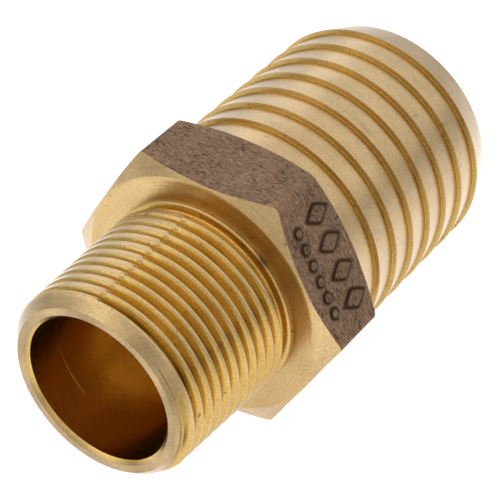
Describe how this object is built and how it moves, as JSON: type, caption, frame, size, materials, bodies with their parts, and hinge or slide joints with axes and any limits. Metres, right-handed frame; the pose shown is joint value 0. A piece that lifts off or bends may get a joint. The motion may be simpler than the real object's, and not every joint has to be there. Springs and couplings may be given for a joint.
{
  "type": "threaded pipe nipple",
  "caption": "Bronze hose adapter: a male taper pipe thread, a cast hex collar for a wrench and a ribbed barbed tail that a plastic pipe is pushed over, all on one through bore.",
  "frame": {"origin": "middle of the bounding box, on the flow axis", "axes": "X along the flow axis, with the thread opening towards -X and the barbed tail towards +X; +Z is the outward normal of one wrench flat, so the part lies on the opposite flat"},
  "size_m": [0.0832, 0.0498, 0.0434],
  "materials": {
    "turned_bronze": "turned, satin, fine tool lines",
    "cast_bronze": "as-cast skin, matte and brown"
  },
  "bodies": {
    "root": {"threaded_spigot": "turned_bronze", "pipe_thread": "turned_bronze", "hex_collar": "cast_bronze", "barbed_spigot": "turned_bronze", "cast_marks": "cast_bronze"}
  },
  "joints": []
}
